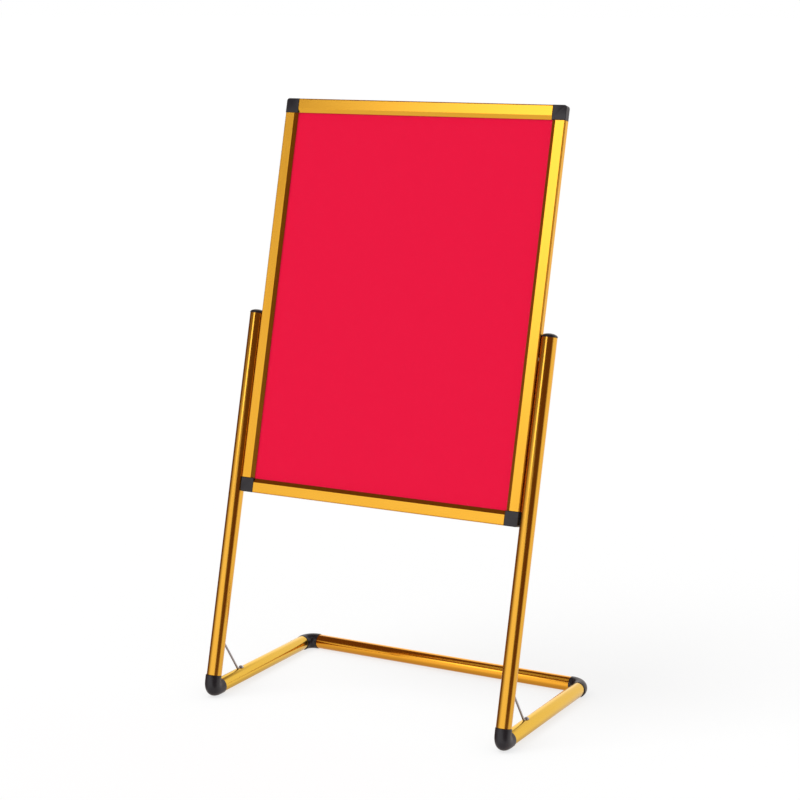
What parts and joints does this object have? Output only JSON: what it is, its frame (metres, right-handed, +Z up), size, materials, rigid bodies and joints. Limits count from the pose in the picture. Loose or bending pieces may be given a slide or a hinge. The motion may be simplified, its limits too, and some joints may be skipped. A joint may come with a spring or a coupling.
{
  "type": "sign stand",
  "caption": "Floor-standing sign stand: gold-coloured poster frame with hinged front rails, tilting between two leaning round posts on a braced tube base.",
  "frame": {"origin": "on the floor, under the middle of the overall box", "axes": "+Z up, +Y towards the back of the stand, +X to the right as seen from in front of the sign's face"},
  "size_m": [0.6844, 0.3986, 1.1818],
  "materials": {
    "gold_aluminium": "polished gold anodised",
    "black_plastic": "satin black moulded",
    "steel": "zinc plated",
    "red_sheet": "plain red",
    "clear_sheet": "clear, non-reflecting",
    "backing": "grey board",
    "nylon": "natural nylon"
  },
  "bodies": {
    "stand": {"left_post": "gold_aluminium", "right_post": "gold_aluminium", "left_base_tube": "gold_aluminium", "right_base_tube": "gold_aluminium", "rear_cross_tube": "gold_aluminium", "left_front_elbow": "black_plastic", "right_front_elbow": "black_plastic", "left_rear_elbow": "black_plastic", "right_rear_elbow": "black_plastic", "left_post_cap": "black_plastic", "right_post_cap": "black_plastic", "left_stay": "steel", "left_stay_lower_screw": "steel", "left_stay_upper_screw": "steel", "left_tilt_bolt": "steel", "left_post_insert": "steel", "right_stay": "steel", "right_stay_lower_screw": "steel", "right_stay_upper_screw": "steel", "right_tilt_bolt": "steel", "right_post_insert": "steel", "left_tilt_washer": "nylon", "right_tilt_washer": "nylon"},
    "poster_frame": {"bottom_rail": "gold_aluminium", "right_rail": "gold_aluminium", "top_rail": "gold_aluminium", "left_rail": "gold_aluminium", "lower_left_corner": "black_plastic", "lower_right_corner": "black_plastic", "upper_left_corner": "black_plastic", "upper_right_corner": "black_plastic", "backing_board": "backing", "sign_sheet": "red_sheet", "clear_sheet": "clear_sheet", "bottom_spring_1": "steel", "bottom_spring_2": "steel", "right_spring_1": "steel", "right_spring_2": "steel", "top_spring_1": "steel", "top_spring_2": "steel", "left_spring_1": "steel", "left_spring_2": "steel"},
    "bottom_cover": {"bottom_cover": "gold_aluminium"},
    "right_cover": {"right_cover": "gold_aluminium"},
    "top_cover": {"top_cover": "gold_aluminium"},
    "left_cover": {"left_cover": "gold_aluminium"}
  },
  "joints": [
    {"name": "frame_tilt", "type": "hinge", "parent": "stand", "child": "poster_frame", "pos_m": [0, -0.00461, 0.71447], "axis": [-1, 0, 0], "range_deg": [-14.6, 60]},
    {"name": "bottom_cover_hinge", "type": "hinge", "parent": "poster_frame", "child": "bottom_cover", "pos_m": [0, -0.09129, 0.41143], "axis": [1, 0, 0], "range_deg": [0, 90]},
    {"name": "right_cover_hinge", "type": "hinge", "parent": "poster_frame", "child": "right_cover", "pos_m": [0.3076, 0.00868, 0.79523], "axis": [0, 0.2521, 0.9677], "range_deg": [0, 90]},
    {"name": "top_cover_hinge", "type": "hinge", "parent": "poster_frame", "child": "top_cover", "pos_m": [0, 0.10865, 1.17902], "axis": [-1, 0, 0], "range_deg": [0, 90]},
    {"name": "left_cover_hinge", "type": "hinge", "parent": "poster_frame", "child": "left_cover", "pos_m": [-0.3076, 0.00868, 0.79523], "axis": [0, -0.2521, -0.9677], "range_deg": [0, 90]}
  ]
}
